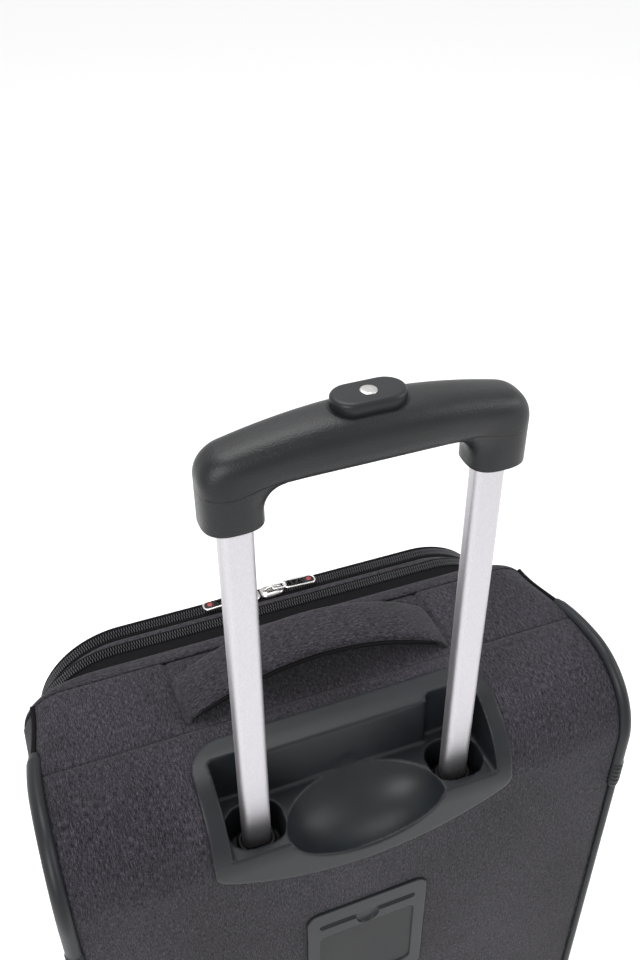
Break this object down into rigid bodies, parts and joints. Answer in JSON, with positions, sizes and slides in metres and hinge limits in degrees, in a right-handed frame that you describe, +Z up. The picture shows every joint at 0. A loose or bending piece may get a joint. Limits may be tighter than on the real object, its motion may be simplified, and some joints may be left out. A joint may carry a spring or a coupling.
{
  "type": "softside upright suitcase",
  "caption": "Softside upright suitcase with a telescopic pull handle in a moulded well, a zipped lid with front pockets, and in-line wheels.",
  "frame": {"origin": "centre of the bounding box's bottom face, on the floor under the case", "axes": "+Z up, -Y towards the front with the lid and pockets, +X to the right seen from the front"},
  "size_m": [0.3954, 0.2236, 0.8214],
  "materials": {
    "shell_fabric": "heather woven polyester",
    "lining_fabric": "plain woven lining",
    "zip_tape": "black woven tape with coil teeth",
    "moulded_plastic": "fine moulded texture",
    "grip_plastic": "semi-matte moulded",
    "button_plastic": "smooth moulded",
    "inner_plastic": "acetal",
    "board_plastic": "sheet",
    "card_plastic": "blank insert",
    "tube_aluminium": "satin anodised",
    "bright_steel": "bright zinc plated",
    "slider_metal": "black painted die-cast",
    "pull_metal": "nickel plated die-cast",
    "tyre_rubber": "smooth tread",
    "hub_plastic": "moulded",
    "bearing_steel": "ground"
  },
  "bodies": {
    "case": {"top_panel": "shell_fabric", "back_panel": "shell_fabric", "bottom_panel": "shell_fabric", "front_flange": "shell_fabric", "side_panel_right": "shell_fabric", "side_panel_left": "shell_fabric", "side_piping": "shell_fabric", "corner_guards": "moulded_plastic", "back_board": "board_plastic", "back_lining": "lining_fabric", "carry_handle": "shell_fabric", "side_handle": "shell_fabric", "id_frame": "moulded_plastic", "id_card": "card_plastic", "handle_well": "moulded_plastic", "expansion_gusset": "zip_tape", "expansion_zip_rear": "zip_tape", "trolley_base": "moulded_plastic", "outer_tubes": "tube_aluminium", "wheel_housing_left": "moulded_plastic", "wheel_housing_right": "moulded_plastic", "axles": "bright_steel", "feet": "moulded_plastic", "housing_screws": "bright_steel"},
    "middle_stage_left": {"middle_tube_left": "tube_aluminium", "middle_collar_left": "moulded_plastic"},
    "middle_stage_right": {"middle_tube_right": "tube_aluminium", "middle_collar_right": "moulded_plastic"},
    "handle": {"inner_tubes": "tube_aluminium", "inner_glides": "inner_plastic", "grip_lower_shell": "grip_plastic", "grip_upper_shell": "grip_plastic", "button_spring": "bright_steel"},
    "release": {"release_button": "button_plastic", "release_yoke": "inner_plastic"},
    "wheel_left": {"tyre_left": "tyre_rubber", "hub_left": "hub_plastic", "bearing_left": "bearing_steel"},
    "wheel_right": {"tyre_right": "tyre_rubber", "hub_right": "hub_plastic", "bearing_right": "bearing_steel"},
    "front_rim": {"expansion_zip_front": "zip_tape", "rim_band": "shell_fabric", "main_zip_rear": "zip_tape"},
    "lid": {"lid_zip": "zip_tape", "lid_panel": "shell_fabric", "upper_pocket": "shell_fabric", "lower_pocket": "shell_fabric", "upper_pocket_zip": "zip_tape", "lower_pocket_zip": "zip_tape"},
    "main_left_slider_body": {"main_left_slider": "slider_metal"},
    "main_left_pull_body": {"main_left_pull": "pull_metal"},
    "main_right_slider_body": {"main_right_slider": "slider_metal"},
    "main_right_pull_body": {"main_right_pull": "pull_metal"},
    "expansion_slider_body": {"expansion_slider": "slider_metal"},
    "expansion_pull_body": {"expansion_pull": "pull_metal"},
    "upper_pocket_slider_body": {"upper_pocket_slider": "slider_metal"},
    "upper_pocket_pull_body": {"upper_pocket_pull": "pull_metal"},
    "lower_pocket_slider_body": {"lower_pocket_slider": "slider_metal"},
    "lower_pocket_pull_body": {"lower_pocket_pull": "pull_metal"}
  },
  "joints": [
    {"name": "middle_left_slide", "type": "slide", "parent": "case", "child": "middle_stage_left", "axis": [0, 0, 1], "range_m": [0, 0.235]},
    {"name": "middle_right_slide", "type": "slide", "parent": "case", "child": "middle_stage_right", "axis": [0, 0, 1], "range_m": [0, 0.235]},
    {"name": "handle_slide", "type": "slide", "parent": "middle_stage_left", "child": "handle", "axis": [0, 0, 1], "range_m": [-0.252, 0]},
    {"name": "button_press", "type": "slide", "parent": "handle", "child": "release", "axis": [0, 0, -1], "range_m": [0, 0.004], "stiffness_N_per_m": 500, "springref_m": -0.004, "deforming": ["button_spring"]},
    {"name": "wheel_left_spin", "type": "hinge", "parent": "case", "child": "wheel_left", "pos_m": [-0.165, 0.08, 0.032], "axis": [1, 0, 0], "continuous": true},
    {"name": "wheel_right_spin", "type": "hinge", "parent": "case", "child": "wheel_right", "pos_m": [0.165, 0.08, 0.032], "axis": [1, 0, 0], "continuous": true},
    {"name": "expansion_slide", "type": "slide", "parent": "case", "child": "front_rim", "axis": [0, -1, 0], "range_m": [0, 0.04]},
    {"name": "lid_hinge", "type": "hinge", "parent": "front_rim", "child": "lid", "pos_m": [-0.183, -0.0762, 0.2965], "axis": [0, 0, -1], "range_deg": [0, 150]},
    {"name": "main_left_slide", "type": "slide", "parent": "front_rim", "child": "main_left_slider_body", "axis": [-1, 0, 0], "range_m": [0, 0.105]},
    {"name": "main_right_slide", "type": "slide", "parent": "front_rim", "child": "main_right_slider_body", "axis": [1, 0, 0], "range_m": [0, 0.085]},
    {"name": "expansion_zip_slide", "type": "slide", "parent": "case", "child": "expansion_slider_body", "axis": [0, 0, 1], "range_m": [0, 0.35]},
    {"name": "upper_pocket_slide", "type": "slide", "parent": "lid", "child": "upper_pocket_slider_body", "axis": [-1, 0, 0], "range_m": [0, 0.17]},
    {"name": "lower_pocket_slide", "type": "slide", "parent": "lid", "child": "lower_pocket_slider_body", "axis": [-1, 0, 0], "range_m": [0, 0.19]},
    {"name": "main_left_pull_hinge", "type": "hinge", "parent": "main_left_slider_body", "child": "main_left_pull_body", "pos_m": [-0.002, -0.076, 0.5638], "axis": [0, 1, 0], "range_deg": [0, 100]},
    {"name": "main_right_pull_hinge", "type": "hinge", "parent": "main_right_slider_body", "child": "main_right_pull_body", "pos_m": [0.022, -0.076, 0.5638], "axis": [0, -1, 0], "range_deg": [0, 100]},
    {"name": "expansion_pull_hinge", "type": "hinge", "parent": "expansion_slider_body", "child": "expansion_pull_body", "pos_m": [-0.1868, -0.06, 0.121], "axis": [0, 1, 0], "range_deg": [0, 120]},
    {"name": "upper_pocket_pull_hinge", "type": "hinge", "parent": "upper_pocket_slider_body", "child": "upper_pocket_pull_body", "pos_m": [0.102, -0.1046, 0.507], "axis": [0, 0, 1], "range_deg": [0, 120]},
    {"name": "lower_pocket_pull_hinge", "type": "hinge", "parent": "lower_pocket_slider_body", "child": "lower_pocket_pull_body", "pos_m": [0.11, -0.1096, 0.308], "axis": [0, 0, 1], "range_deg": [0, 120]}
  ],
  "couplings": [
    {"joint": "middle_right_slide", "follows": "middle_left_slide", "ratio": 1}
  ]
}
